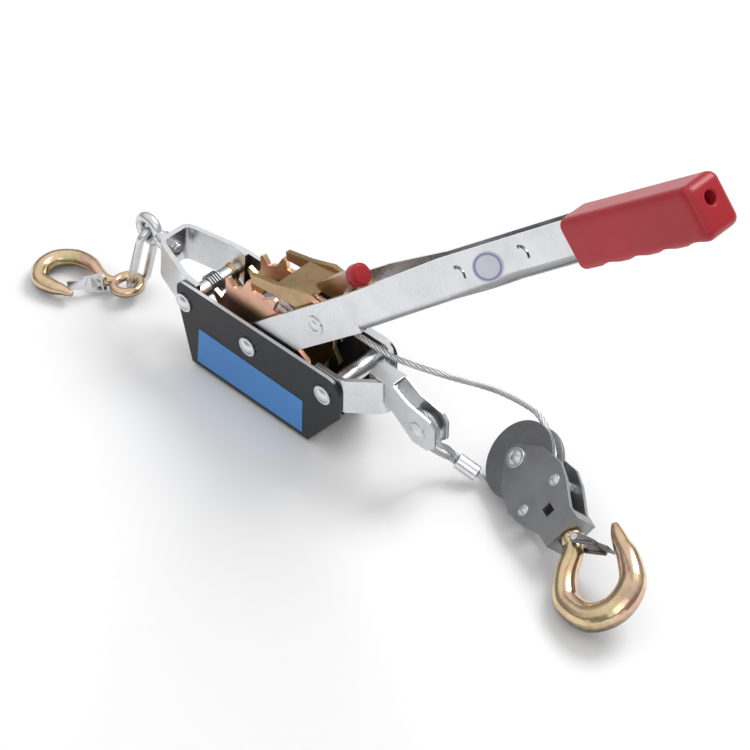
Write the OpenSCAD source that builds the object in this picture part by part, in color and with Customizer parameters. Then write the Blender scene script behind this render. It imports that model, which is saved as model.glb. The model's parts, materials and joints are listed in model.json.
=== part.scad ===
// Hand cable puller (come along winch): a folded channel frame, a drum between two
// twelve-tooth ratchet wheels, a forked handle with a driving pawl, a stop pawl,
// a wire rope that runs out over the front bail, round a pulley block and back to
// an anchor hook, and a hook at each end.
// Lengths are in millimetres. X runs from the rear hook to the pulley block, Y across
// the frame from the labelled side to the far side, Z up. The origin is on the
// underside of the frame, straight below the drum axle.

/* [Frame] */
// Outside width of the channel
frame_w = 62; // [58:1:72]
// Height of the side plates
frame_h = 80; // [76:1:90]
// Sheet thickness of the channel
frame_t = 3.5; // [3:0.25:3.5]
// Rear end of the side plates at the top, behind the axle
plate_rear = 78; // [77:1:84]
// Front end of the side plates at the top, ahead of the axle
plate_front = 95; // [90:1:97]
// Rear end of the floor, behind the axle
floor_rear = 66; // [60:1:72]
// Front end of the floor, ahead of the axle
floor_front = 58; // [52:1:66]
// Height of the drum axle
axle_z = 60; // [58:0.5:62]
// Height of the two bail pins
pin_z = 62; // [60:0.5:64]
// Distance of the front bail pin ahead of the axle
front_pin_x = 79; // [78:0.5:82]
// Distance of the rear bail pin behind the axle
rear_pin_x = 70; // [69:0.5:72]
// Diameter of the drum axle
axle_d = 12; // [10:0.5:12]
// Diameter of the bail pins
pin_d = 10; // [8:0.5:10]
// Diameter of the rivet heads
head_d = 16; // [14:0.5:18]
// Height of the rivet heads
head_h = 4; // [3:0.5:5]

/* [Bails] */
// Thickness of the bail straps
strap_t = 4; // [3:0.25:4]
// Height of the front bail strap
front_strap_h = 31; // [26:1:33]
// Reach of the front bail ahead of the axle
front_reach = 118; // [116:1:124]
// Height of the rear bail strap
rear_strap_h = 34; // [28:1:36]
// Reach of the rear bail behind the axle
rear_reach = 118; // [114:1:124]
// Tilt of the rear bail above the level
rear_tilt = 7; // [3:1:10]

/* [Drum and wheels] */
// Outside diameter of the ratchet wheels
wheel_d = 104; // [100:1:106]
// Thickness of a ratchet wheel
wheel_t = 4; // [3:0.25:4]
// Distance between the two wheels
drum_len = 32; // [30:0.5:32]
// Depth of the ratchet teeth
tooth_depth = 9; // [7:0.5:10]
// Number of ratchet teeth
teeth = 12; // [12:12:24]
// Diameter of the drum core below the outer layer of rope
core_d = 42; // [36:1:44]
// Turns of rope in the outer layer
turns = 5; // [3:1:5]

/* [Wire rope] */
// Diameter of the wire rope
rope_d = 4.8; // [4:0.2:4.8]
// Diameter of the pressed ferrule
ferrule_d = 12.4; // [11.6:0.2:13]
// Length of the pressed ferrule
ferrule_len = 18; // [14:1:20]

/* [Handle] */
// Angle of the handle above the level
handle_angle = 41; // [38:1:44]
// Width of the fork arms
arm_w = 29; // [26:1:30]
// Sheet thickness of the fork arms
arm_t = 3; // [2.5:0.25:3]
// Inside width of the fork
fork_in = 45.6; // [45.6:0.1:46.4]
// Length of the parallel fork, axle to taper
fork_len = 138; // [134:1:146]
// Length of the taper from fork to trough
taper_len = 92; // [80:1:100]
// Width of the handle trough
trough_w = 24; // [22:1:26]
// Sheet thickness of the trough
trough_t = 2.4; // [2:0.1:3]
// Length of the grip
grip_len = 123; // [110:1:130]
// Distance from the axle to the free end of the grip
handle_len = 482; // [470:1:500]
// Width of the grip
grip_w = 30; // [29:1:34]
// Height of the grip at its free end
grip_h = 37; // [36:1:40]
// Diameter of the red release knob
knob_d = 17; // [14:1:18]
// Diameter of the hang hole in the grip's end
hang_d = 9; // [6:0.5:10]

/* [Driving pawl] */
// Distance of the pawl pin from the axle
pawl_pin_r = 89; // [87:1:92]
// Diameter of the pawl pin
pawl_pin_d = 8; // [7:0.5:9]
// Clearance over the tooth tips while released
pawl_clear = 0.7; // [0.5:0.1:1]

/* [Pulley block] */
// Diameter of the sheave
sheave_d = 61; // [58:1:62]
// Width of the sheave
sheave_w = 15; // [14:0.5:16]
// Diameter of the sheave axle
sheave_axle_d = 12; // [10:0.5:13]
// Thickness of the block's cheek plates
cheek_t = 3; // [2.5:0.25:4]
// Distance from the sheave axle to the face of the base
base_x = 78; // [76:1:82]
// Width of the block's base
base_w = 31; // [28:1:34]
// Thickness of the block's base
base_t = 9; // [8:0.5:10]
// Diameter of the main hook's shank
shank_d = 12; // [11:0.5:12]

/* [Hooks] */
// Mean radius of the main hook's bowl
bowl_r = 26; // [25:0.5:27]
// Thickness of the main hook at the bottom of its bowl
bowl_t = 21; // [19:0.5:22]
// Distance from the sheave axle to the centre of the main bowl
bowl_x = 123; // [121:1:126]
// Mean radius of the rear hook's bowl
rear_bowl_r = 19.5; // [18.5:0.5:20.5]
// Thickness of the rear hook at the bottom of its bowl
rear_bowl_t = 15; // [13:0.5:15]
// Thickness of the latch sheet
latch_t = 1.5; // [1.2:0.1:1.6]

/* [Hidden] */
$fn = 48;
run_gap = 0.05;
pin_gap = 0.1;
side_gap = 0.3;
inner_y = frame_w / 2 - frame_t;
wheel_y0 = drum_len / 2;
wheel_y1 = wheel_y0 + wheel_t;
arm_y0 = fork_in / 2;
arm_y1 = arm_y0 + arm_t;
tip_r = wheel_d / 2;
root_r = tip_r - tooth_depth;
pitch = 360 / teeth;
rope_r = rope_d / 2;
strap_y = inner_y - side_gap - strap_t / 2;
front_strap_z = 50;
strap_top = front_strap_z + front_strap_h;

// colours
zinc = [0.80, 0.81, 0.83];
dull = [0.45, 0.46, 0.48];
gold = [0.80, 0.62, 0.35];
black = [0.10, 0.10, 0.11];
red = [0.72, 0.15, 0.17];
blue = [0.22, 0.45, 0.74];
steel = [0.66, 0.67, 0.68];

// ---------- helpers ----------
function unit(v) = v / norm(v);
function cr(a, b, c, d, t) = 0.5 * (2 * b + (c - a) * t + (2 * a - 5 * b + 4 * c - d) * t * t
    + (3 * b - a - 3 * c + d) * t * t * t);
function spline(p, n) = concat([for (i = [0 : len(p) - 2]) for (j = [0 : n - 1])
    cr(p[max(i - 1, 0)], p[i], p[i + 1], p[min(i + 2, len(p) - 1)], j / n)], [p[len(p) - 1]]);
function tang(p, i) = i == 0 ? unit(p[1] - p[0])
    : i == len(p) - 1 ? unit(p[i] - p[i - 1]) : unit(p[i + 1] - p[i - 1]);
function side_of(t) = abs(t[1]) < 0.9 ? unit(cross(t, [0, 1, 0])) : unit(cross(t, [1, 0, 0]));
function walk(p, i = 0, n = [0, 0, 0], acc = []) = i == len(p) ? acc
    : let (t = tang(p, i), m = i == 0 ? side_of(t) : unit(n - (n * t) * t))
      walk(p, i + 1, m, concat(acc, [[p[i], m, cross(t, m)]]));
function ring_faces(n, s) = concat(
    [for (i = [0 : n - 2]) for (k = [0 : s - 1]) [i * s + k, (i + 1) * s + k, i * s + (k + 1) % s]],
    [for (i = [0 : n - 2]) for (k = [0 : s - 1])
        [i * s + (k + 1) % s, (i + 1) * s + k, (i + 1) * s + (k + 1) % s]],
    [for (k = [1 : s - 2]) [0, k, k + 1]],
    [for (k = [1 : s - 2]) [(n - 1) * s, (n - 1) * s + k + 1, (n - 1) * s + k]]);

// a tube along the points p, with one radius for each point
module tube(p, r, s) {
    f = walk(p);
    pts = [for (i = [0 : len(p) - 1]) for (k = [0 : s - 1])
        f[i][0] + r[i] * (cos(360 * k / s) * f[i][1] + sin(360 * k / s) * f[i][2])];
    polyhedron(pts, ring_faces(len(p), s), convexity = 6);
}
module rope(p, s = 8) {
    tube(p, [for (q = p) rope_r], s);
}
// a flat plate in the XZ plane between y0 and y1, from a 2D outline in (x, z)
module plate_xz(y0, y1) {
    translate([0, y1, 0]) rotate([90, 0, 0]) linear_extrude(y1 - y0) children();
}
// a cylinder along Y between y0 and y1
module rod_y(r, y0, y1) {
    translate([0, y0, 0]) rotate([-90, 0, 0]) cylinder(r = r, h = y1 - y0);
}
// a low domed head whose flat side is at z = 0
module dome(d, h) {
    cylinder(d = d, h = h * 0.45);
    translate([0, 0, h * 0.45]) intersection() {
        translate([0, 0, h * 0.55 - d * 0.62]) sphere(r = d * 0.62);
        cylinder(d = d * 0.94, h = h);
    }
}
// a rivet along Y with a domed head at each end
module rivet_y(d, y0, y1, hd, hh) {
    rod_y(d / 2, y0 - 0.01, y1 + 0.01);
    translate([0, y0, 0]) rotate([90, 0, 0]) dome(hd, hh);
    translate([0, y1, 0]) rotate([-90, 0, 0]) dome(hd, hh);
}
// plan outline of a bent strap along the points p
function left_of(p, i) = let (t = tang(p, i)) [-t[1], t[0]];
function strip(p, t) = concat([for (i = [0 : len(p) - 1]) p[i] + left_of(p, i) * t / 2],
    [for (i = [len(p) - 1 : -1 : 0]) p[i] - left_of(p, i) * t / 2]);
function arc(c, r, a, b, n) = [for (i = [0 : n]) c + r * [cos(a + (b - a) * i / n), sin(a + (b - a) * i / n)]];
// centre line of a bail: straight arms, two bends and a rounded crown at x = reach
function bail_line(x0, x1, y, reach, r) = concat([[x0, -y], [x1 - 3, -y], [x1 + 2, -y + 1.6]],
    arc([reach - r, 0], r, -52, 52, 10), [[x1 + 2, y - 1.6], [x1 - 3, y], [x0, y]]);
// centre line of a bail whose crown is flat over the half width w
function flat_half(x0, x1, y, reach, w) = [[x0, -y], [x1 - 3, -y], [x1 + 2, -y + 1.6],
    [reach - 6, -w - 4.2], [reach - 2.4, -w - 2.2], [reach - 0.5, -w], [reach, -w + 2.2]];
function flat_line(x0, x1, y, reach, w) = let (h = flat_half(x0, x1, y, reach, w))
    concat(h, [for (i = [len(h) - 1 : -1 : 0]) [h[i][0], -h[i][1]]]);

// ---------- frame ----------
function corner(x, z, r, a, b) = [for (i = [0 : 5]) [x + r * cos(a + (b - a) * i / 5), z + r * sin(a + (b - a) * i / 5)]];
module plate_outline() {
    polygon(concat([[-floor_rear, 0], [floor_front, 0], [plate_front - 1, frame_h - 34]],
        corner(plate_front - 12, frame_h - 12, 12, 0, 90),
        corner(-plate_rear + 8, frame_h - 8, 8, 90, 180), [[-plate_rear, frame_h - 20]]));
}
module channel_section() {
    difference() {
        union() {
            translate([-frame_w / 2, 5]) square([frame_w, frame_h + 5]);
            translate([-frame_w / 2 + 5, 0]) square([frame_w - 10, 6]);
            for (s = [-1, 1]) translate([s * (frame_w / 2 - 5), 5]) circle(5);
        }
        translate([-inner_y, frame_t + 2]) square([2 * inner_y, frame_h + 10]);
        translate([-inner_y + 2, frame_t]) square([2 * inner_y - 4, 3]);
        for (s = [-1, 1]) translate([s * (inner_y - 2), frame_t + 2]) circle(2);
    }
}
module frame_channel() {
    color(black) difference() {
        intersection() {
            translate([-150, 0, 0]) rotate([90, 0, 90]) linear_extrude(300) channel_section();
            plate_xz(-frame_w, frame_w) plate_outline();
        }
        translate([0, 0, axle_z]) rod_y(axle_d / 2 + pin_gap, -frame_w, frame_w);
        translate([front_pin_x, 0, pin_z]) rod_y(pin_d / 2 + pin_gap, -frame_w, frame_w);
        translate([-rear_pin_x, 0, pin_z]) rod_y(pin_d / 2 + pin_gap, -frame_w, frame_w);
    }
}
module side_label() {
    color(blue) plate_xz(-frame_w / 2 - 0.35, -frame_w / 2)
        polygon([[-55, 44], [57, 41], [55, 8], [-60, 8]]);
}
module drum_axle() {
    color(zinc) translate([0, 0, axle_z]) {
        rod_y(axle_d / 2, -frame_w / 2 - 0.01, frame_w / 2 + 9);
        translate([0, -frame_w / 2, 0]) rotate([90, 0, 0]) dome(head_d, head_h);
    }
}
module axle_nut() {
    color(zinc) translate([0, frame_w / 2, axle_z]) rotate([-90, 0, 0]) difference() {
        union() {
            cylinder(d = axle_d + 11, h = 1.4);
            translate([0, 0, 1.3]) cylinder(r = (axle_d + 7) / sqrt(3), h = 6.5, $fn = 6);
        }
        translate([0, 0, -1]) cylinder(r = axle_d / 2 + 0.01, h = 12);
    }
}
module arm_washers() {
    color(zinc) translate([0, 0, axle_z]) for (s = [-1, 1]) {
        difference() {
            rod_y(11, s > 0 ? wheel_y1 + 0.15 : -arm_y0 + 0.1, s > 0 ? arm_y0 - 0.1 : -wheel_y1 - 0.15);
            rod_y(axle_d / 2 + run_gap, -frame_w, frame_w);
        }
        difference() {
            rod_y(11, s > 0 ? arm_y1 + 0.1 : -inner_y + 0.05, s > 0 ? inner_y - 0.05 : -arm_y1 - 0.1);
            rod_y(axle_d / 2 + run_gap, -frame_w, frame_w);
        }
    }
}
module front_pin() {
    color(zinc) translate([front_pin_x, 0, pin_z]) rivet_y(pin_d, -frame_w / 2, frame_w / 2, head_d, head_h);
}
module rear_pin() {
    color(zinc) translate([-rear_pin_x, 0, pin_z]) rivet_y(pin_d, -frame_w / 2, frame_w / 2, head_d, head_h);
}
module front_spacer() {
    color(zinc) translate([front_pin_x, 0, pin_z]) difference() {
        rod_y(7, -strap_y + strap_t / 2 + 0.1, strap_y - strap_t / 2 - 0.1);
        rod_y(pin_d / 2 + run_gap, -frame_w, frame_w);
    }
}
module rear_spacer() {
    color(zinc) translate([-rear_pin_x, 0, pin_z]) difference() {
        rod_y(6.6, -wheel_y0 + 0.2, wheel_y0 - 0.2);
        rod_y(pin_d / 2 + run_gap, -frame_w, frame_w);
    }
}

// ---------- bails ----------
module front_bail() {
    line = bail_line(front_pin_x - 12, plate_front - 3, strap_y, front_reach - strap_t / 2, 11);
    color(zinc) difference() {
        translate([0, 0, front_strap_z]) linear_extrude(front_strap_h) polygon(strip(line, strap_t));
        translate([front_pin_x, 0, pin_z]) rod_y(pin_d / 2 + pin_gap, -frame_w, frame_w);
    }
}
module rear_bail_frame() {
    translate([-rear_pin_x, 0, pin_z]) rotate([0, rear_tilt, 0]) children();
}
module rear_bail() {
    line = [for (q = flat_line(-9, 9, strap_y, rear_reach - rear_pin_x - strap_t / 2, 11)) [-q[0], q[1]]];
    color(zinc) rear_bail_frame() difference() {
        translate([0, 0, -13]) linear_extrude(rear_strap_h) polygon(strip(line, strap_t));
        rod_y(pin_d / 2 + run_gap, -frame_w, frame_w);
        translate([-rear_reach + rear_pin_x - 20, 0, stud_z]) rotate([0, 90, 0]) cylinder(r = stud_r + run_gap, h = 40);
    }
}

// ---------- drum ----------
face_a = handle_angle + 55.2;
function polar(r, a) = [r * cos(a), r * sin(a)];
module wheel_outline() {
    polygon([for (k = [0 : teeth - 1]) let (a = face_a + pitch * k)
        each [polar(root_r, a), polar(tip_r, a), polar(tip_r, a + pitch * 0.14), polar(root_r, a + pitch * 0.52),
            polar(root_r, a + pitch * 0.76)]]);
}
module wheel(y0) {
    color(gold) translate([0, 0, axle_z]) difference() {
        plate_xz(y0, y0 + wheel_t) wheel_outline();
        rod_y(axle_d / 2 + run_gap, -frame_w, frame_w);
    }
}
module ratchet_wheel_near() wheel(-wheel_y1);
module ratchet_wheel_far() wheel(wheel_y0);
module drum_barrel() {
    color(dull) translate([0, 0, axle_z]) difference() {
        rod_y(core_d / 2, -wheel_y0, wheel_y0);
        rod_y(axle_d / 2 + run_gap, -frame_w, frame_w);
    }
}
wind_r = core_d / 2 + rope_r + 0.25;
wind_pitch = rope_d + 0.5;
wind_y = turns * wind_pitch / 2;
wind_n = 24;
wind = [for (i = [0 : turns * wind_n]) let (a = 360 * (turns - i / wind_n))
    [wind_r * cos(90 + a), -wind_y + 2 * wind_y * i / (turns * wind_n), axle_z + wind_r * sin(90 + a)]];
echo(wind_least_gap = min([for (i = [0 : len(wind) - 20]) for (j = [i + 12 : min(i + 36, len(wind) - 1)])
    norm(wind[i] - wind[j])]) - rope_d);
module rope_winding() {
    color(steel) rope(wind, 6);
}

// ---------- stop pawl ----------
stop_face = face_a + pitch * 4;
stop_tip = polar(root_r + 2.5, stop_face - 1.9);
stop_hub = [-rear_pin_x, pin_z - axle_z];
stop_dir = unit(stop_tip - stop_hub);
stop_out = [stop_dir[1], -stop_dir[0]];
stop_len = norm(stop_tip - stop_hub);
module stop_pawl_outline() {
    difference() {
        union() {
            translate(stop_hub) circle(7.5);
            polygon([stop_hub, stop_tip, stop_tip + stop_out * 8.4 - stop_dir * 1.2,
                stop_hub + stop_out * 7.5 + stop_dir * 6, stop_hub + stop_out * 7.5]);
        }
        translate(stop_hub) circle(pin_d / 2 + run_gap);
    }
}
module stop_pawl() {
    web = [stop_hub + stop_out * 5.3 + stop_dir * 17, stop_hub + stop_out * 5.3 + stop_dir * (stop_len - 9),
        stop_hub + stop_out * 8.2 + stop_dir * (stop_len - 9), stop_hub + stop_out * 7.7 + stop_dir * 17];
    color(gold) translate([0, 0, axle_z]) {
        plate_xz(-wheel_y1, -wheel_y0) stop_pawl_outline();
        plate_xz(wheel_y0, wheel_y1) stop_pawl_outline();
        plate_xz(-wheel_y0 - 0.01, wheel_y0 + 0.01) polygon(web);
    }
}
// torsion spring round the rear spacer, with its free leg bent down to the pawl's web
coil_w = 1.7;
coil_r = 6.6 / cos(22.5) + coil_w / 2 + 0.15;
coil = [for (i = [0 : 8 * 5]) let (a = 45 * i) [coil_r * cos(a), -6 + 11.5 * i / 40, coil_r * sin(a)]];
echo(coil_least_gap = min([for (i = [0 : len(coil) - 7]) for (j = [i + 6 : min(i + 11, len(coil) - 1)])
    norm(coil[i] - coil[j])]) - coil_w);
module stop_pawl_spring() {
    color(dull) translate([-rear_pin_x, 0, pin_z]) tube(coil, [for (q = coil) coil_w / 2], 6);
}

// ---------- handle ----------
module at_handle() {
    translate([0, 0, axle_z]) rotate([0, -handle_angle, 0]) children();
}
trough_x = fork_len + taper_len;
trough_h = arm_w + 1;
// cross-section of the pressing, rounded below, in (y, z)
module pressing(w, h, r) {
    translate([-w / 2, -h / 2 + r]) square([w, h - r]);
    translate([-w / 2 + r, -h / 2]) square([w - 2 * r, r + 0.01]);
    for (s = [-1, 1]) translate([s * (w / 2 - r), -h / 2 + r]) circle(r, $fn = 32);
}
module slab(x, w, h, r, t = 0.2) {
    translate([x, 0, 0]) rotate([90, 0, 90]) linear_extrude(t) pressing(w, h, r);
}
trough_r = 7;
module handle_fork() {
    color(zinc) at_handle() difference() {
        union() {
            for (s = [-1, 1]) plate_xz(s > 0 ? arm_y0 : -arm_y1, s > 0 ? arm_y1 : -arm_y0) {
                circle(arm_w / 2);
                translate([0, -arm_w / 2]) square([fork_len + 0.1, arm_w]);
            }
            difference() {
                union() {
                    hull() {
                        slab(fork_len, 2 * arm_y1, arm_w, trough_r);
                        slab(trough_x, trough_w, trough_h, trough_r);
                    }
                    slab(trough_x, trough_w, trough_h, trough_r, handle_len - 12 - trough_x);
                }
                hull() {
                    translate([0, 0, arm_t]) slab(fork_len - 0.1, 2 * arm_y0, arm_w + 1, trough_r - 2);
                    translate([0, 0, trough_t]) slab(trough_x + 0.1, trough_w - 2 * trough_t, trough_h, trough_r - trough_t);
                }
                translate([0, 0, trough_t]) slab(trough_x, trough_w - 2 * trough_t, trough_h, trough_r - trough_t, 400);
            }
        }
        rod_y(axle_d / 2 + run_gap, -frame_w, frame_w);
        translate([pawl_pin_r, 0, 0]) rod_y(pawl_pin_d / 2 + 0.02, -frame_w, frame_w);
        translate([fork_len - 12, 0, -arm_w / 2 - 30]) rod_y(34, -arm_y0 - 0.01, arm_y0 + 0.01);
    }
}
grip_x = handle_len - grip_len;
module grip_slab(x, h, t) {
    translate([x, 0, 0]) rotate([90, 0, 90]) linear_extrude(t) translate([-grip_w / 2, -h / 2 - 1]) {
        translate([7, 0]) square([grip_w - 14, h]);
        translate([0, 7]) square([grip_w, h - 12]);
        for (i = [0, 1]) {
            translate([i == 0 ? 7 : grip_w - 7, 7]) circle(7, $fn = 32);
            translate([i == 0 ? 5 : grip_w - 5, h - 5]) circle(5, $fn = 32);
        }
    }
}
module handle_grip() {
    color(red) at_handle() difference() {
        hull() {
            grip_slab(grip_x, trough_h + 4.5, 0.2);
            grip_slab(handle_len - 3, grip_h, 0.2);
            grip_slab(handle_len - 0.2, grip_h - 4, 0.2);
        }
        translate([0, 0, 0]) slab(grip_x - 1, trough_w + 0.3, trough_h + 0.3, trough_r, grip_len - 10.7);
        translate([handle_len - 20, 0, 1]) rotate([0, 90, 0]) cylinder(d = hang_d, h = 40);
        for (i = [0 : 3]) translate([grip_x + 23 + 25 * i, 0, -trough_h / 2 - 19 - i * 0.7]) rod_y(16, -40, 40);
    }
}

// ---------- driving pawl ----------
// outline in handle coordinates: pin at (pawl_pin_r, 0), tip above the wheel
pr = tip_r + pawl_clear;
tip_a = acos(pr / pawl_pin_r);
pawl_tip = polar(pr, tip_a);
pawl_hub = [pawl_pin_r, 0];
pawl_dir = unit(pawl_tip - pawl_hub);
pawl_out = [-pawl_dir[1], pawl_dir[0]] * -1;
pawl_len = norm(pawl_tip - pawl_hub);
module finger_outline() {
    difference() {
        union() {
            translate(pawl_hub) circle(9);
            polygon([pawl_hub - pawl_dir * 0, pawl_tip, pawl_tip + pawl_out * 7.4,
                pawl_tip - pawl_dir * 26 + pawl_out * 11, pawl_hub + pawl_dir * 22 + pawl_out * 17,
                pawl_hub + pawl_out * 13 + pawl_dir * 4, pawl_hub + pawl_out * 9 - pawl_dir * 2]);
        }
        translate(pawl_hub) circle(pawl_pin_d / 2 + run_gap);
    }
}
knob_at = [124, 19];
finger_y = wheel_y1;
module drive_pawl() {
    lever = [pawl_hub + pawl_out * 9 + pawl_dir * 8, pawl_hub + pawl_out * 16 + pawl_dir * 14,
        knob_at + [-9, 7], knob_at + [2, 3], knob_at + [0, -4], pawl_hub + [9, 9]];
    color(gold) at_handle() {
        for (s = [-1, 1]) plate_xz(s > 0 ? wheel_y0 : -finger_y, s > 0 ? finger_y : -wheel_y0) finger_outline();
        plate_xz(-wheel_y0 - 0.01, wheel_y0 + 0.01) polygon([pawl_hub + pawl_dir * 12 + pawl_out * 12.4,
            pawl_hub + pawl_dir * 12 + pawl_out * 15.2, pawl_tip - pawl_dir * 26 + pawl_out * 11,
            pawl_tip - pawl_dir * 26 + pawl_out * 8.2]);
        plate_xz(-5, 5) difference() {
            polygon([pawl_hub + pawl_dir * 16 + pawl_out * 12.5, pawl_hub + pawl_dir * 18 + pawl_out * 16,
                knob_at + [-8, 5], knob_at + [0, 2.5], knob_at + [0, -2.5], pawl_hub + pawl_out * 10 - pawl_dir * 4]);
            translate(knob_at) circle(1.5);
        }
    }
}
module pawl_knob() {
    color(red) at_handle() translate([knob_at[0] + 0.02, 0, knob_at[1]]) rotate([0, 90, 0]) {
        cylinder(d = knob_d - 4, h = 2.5);
        translate([0, 0, 2.4]) cylinder(d = knob_d, h = 7);
        translate([0, 0, 9.3]) cylinder(d = knob_d - 4, h = 1.6);
    }
}
module drive_pawl_pin() {
    color(zinc) at_handle() translate([pawl_pin_r, 0, 0]) rivet_y(pawl_pin_d, -arm_y1, arm_y1, 15, 2.6);
}

// ---------- pulley block ----------
block_at = [209, 44, 27];
block_yaw = -25;
block_roll = 44;
hook_roll = 35;
module at_block(roll = block_roll) {
    translate(block_at) rotate([0, 0, block_yaw]) rotate([roll, 0, 0]) children();
}
groove_r = sheave_d / 2 - 4.6;
module sheave() {
    color(dull) at_block() difference() {
        translate([0, 0, -sheave_w / 2]) cylinder(d = sheave_d, h = sheave_w, $fn = 64);
        rotate_extrude($fn = 64) {
            translate([groove_r, 0]) circle(rope_r + 0.35, $fn = 24);
            polygon([[groove_r, -rope_r - 0.35], [groove_r + 8, -sheave_w / 2 + 1.2],
                [groove_r + 8, sheave_w / 2 - 1.2], [groove_r, rope_r + 0.35]]);
        }
        translate([0, 0, -20]) cylinder(r = sheave_axle_d / 2 + run_gap, h = 40);
    }
}
cheek_z = sheave_w / 2 + 0.5;
module cheek_outline() {
    difference() {
        union() {
            circle(11);
            polygon([[-6, 9], [10, 22], [32, 27], [46, 24], [base_x - 12, base_w / 2], [base_x, base_w / 2],
                [base_x, -base_w / 2], [base_x - 12, -base_w / 2], [46, -24], [32, -27], [10, -22], [-6, -9]]);
        }
        circle(sheave_axle_d / 2 + 0.02);
        translate([51, -4]) square([8, 8]);
        for (s = [-1, 1]) translate([40, s * 16]) circle(3 + 0.02);
    }
}
module block_cheeks() {
    color(dull) at_block() for (s = [0, 1])
        translate([0, 0, s == 0 ? cheek_z : -cheek_z - cheek_t]) linear_extrude(cheek_t) cheek_outline();
}
module block_base() {
    color(dull) at_block() difference() {
        translate([base_x - base_t, -base_w / 2, -cheek_z]) cube([base_t, base_w, 2 * cheek_z]);
        rotate([0, 90, 0]) cylinder(r = shank_d / 2 + run_gap, h = 200);
    }
}
module block_rivets() {
    color(zinc) at_block() for (s = [-1, 1]) translate([40, s * 16, 0]) {
        translate([0, 0, -cheek_z - cheek_t - 0.01]) cylinder(r = 3, h = 2 * (cheek_z + cheek_t) + 0.02);
        translate([0, 0, cheek_z + cheek_t]) dome(9, 2);
        translate([0, 0, -cheek_z - cheek_t]) rotate([180, 0, 0]) dome(9, 2);
        translate([0, 0, -cheek_z + 0.05]) cylinder(r = 4.2, h = 2 * cheek_z - 0.1);
    }
}
module sheave_axle() {
    color(zinc) at_block() {
        translate([0, 0, -cheek_z - cheek_t - 0.01]) cylinder(d = sheave_axle_d, h = 2 * (cheek_z + cheek_t) + 0.02);
        translate([0, 0, cheek_z + cheek_t]) dome(16, 3);
        translate([0, 0, -cheek_z - cheek_t]) rotate([180, 0, 0]) dome(16, 3);
    }
}

// ---------- hooks ----------
// a forged hook in its own plane: points are [x, y, radius]
function planar(q) = [for (v = q) [v[0], v[1], 0]];
function radii(q) = [for (v = q) v[2]];
module forged(q, s = 14) {
    tube(planar(q), radii(q), s);
}
neck_x = base_x + 0.3;
main_line = spline([[neck_x + 5, 0, 7.2], [neck_x + 12, -5, 7.6], [neck_x + 21, -15.5, 8.4],
    [bowl_x - 12, -23.5, 9.3], [bowl_x, -bowl_r, 9.9],
    [bowl_x + bowl_r * sin(45), -bowl_r * cos(45), bowl_t / 2],
    [bowl_x + bowl_r, 0, bowl_t / 2], [bowl_x + bowl_r * sin(45), bowl_r * cos(45), bowl_t / 2 - 0.6],
    [bowl_x, bowl_r, 8.4], [bowl_x - 12, bowl_r + 1.2, 6.8], [bowl_x - 23, bowl_r + 3, 5],
    [bowl_x - 31, bowl_r + 5, 2.6]], 4);
latch_at = [neck_x + 5, 3.5];
module main_hook() {
    color(gold) at_block(hook_roll) difference() {
        union() {
            translate([base_x - 22, 0, 0]) rotate([0, 90, 0]) cylinder(d = shank_d, h = 30);
            translate([neck_x, 0, 0]) rotate([0, 90, 0]) cylinder(r = 9, h = 4.6);
            forged(main_line);
        }
        translate([neck_x + 9, 4, -20]) cylinder(r = 1.55, h = 40);
    }
}
module hook_nut() {
    color(zinc) at_block(hook_roll) translate([base_x - base_t - 8.3, 0, 0]) rotate([0, 90, 0]) difference() {
        cylinder(r = 7.7, h = 8);
        translate([0, 0, -1]) cylinder(r = shank_d / 2 + 0.01, h = 12);
    }
}
module latch_plate(p, q, w, t) {
    d = unit(q - p);
    n = [-d[1], d[0]];
    translate([0, 0, -w / 2]) linear_extrude(w) polygon([p - d * 3 + n * t / 2, q + n * t / 2, q - n * t / 2, p - d * 3 - n * t / 2]);
}
main_latch_p = [neck_x + 9, 4];
main_latch_q = [bowl_x - 15, bowl_r - 7.2];
module main_latch() {
    d = unit(main_latch_q - main_latch_p);
    color(dull) at_block(hook_roll) difference() {
        union() {
            for (s = [-1, 1]) translate([0, 0, s * 9.2 - latch_t / 2]) linear_extrude(latch_t) {
                translate(main_latch_p) circle(4);
                polygon([main_latch_p + [-d[1], d[0]] * 4, main_latch_p + [d[1], -d[0]] * 4,
                    main_latch_p + d * 17 + [d[1], -d[0]] * 2, main_latch_p + d * 17 + [-d[1], d[0]] * 1.5]);
            }
            translate([0, 0, -10]) linear_extrude(20) polygon([main_latch_p + d * 10 + [-d[1], d[0]] * 2.8,
                main_latch_p + d * 17 + [-d[1], d[0]] * 1.5, main_latch_p + d * 17 + [-d[1], d[0]] * -0.3,
                main_latch_p + d * 10 + [-d[1], d[0]] * 1.2]);
            translate([0, 0, -6]) linear_extrude(12) polygon([main_latch_p + d * 16.5 + [-d[1], d[0]] * 1.5,
                main_latch_q + [-d[1], d[0]] * 0.8, main_latch_q + [-d[1], d[0]] * -0.9,
                main_latch_p + d * 16.5 + [-d[1], d[0]] * -0.3]);
        }
        translate([main_latch_p[0], main_latch_p[1], -20]) cylinder(r = 1.55, h = 40);
    }
}
module main_latch_pin() {
    color(zinc) at_block(hook_roll) translate([main_latch_p[0], main_latch_p[1], 0]) {
        translate([0, 0, -10.5]) cylinder(r = 1.5, h = 21);
        translate([0, 0, 10.1]) cylinder(r = 2.6, h = 1);
        translate([0, 0, -11.1]) cylinder(r = 2.6, h = 1);
    }
}

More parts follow.
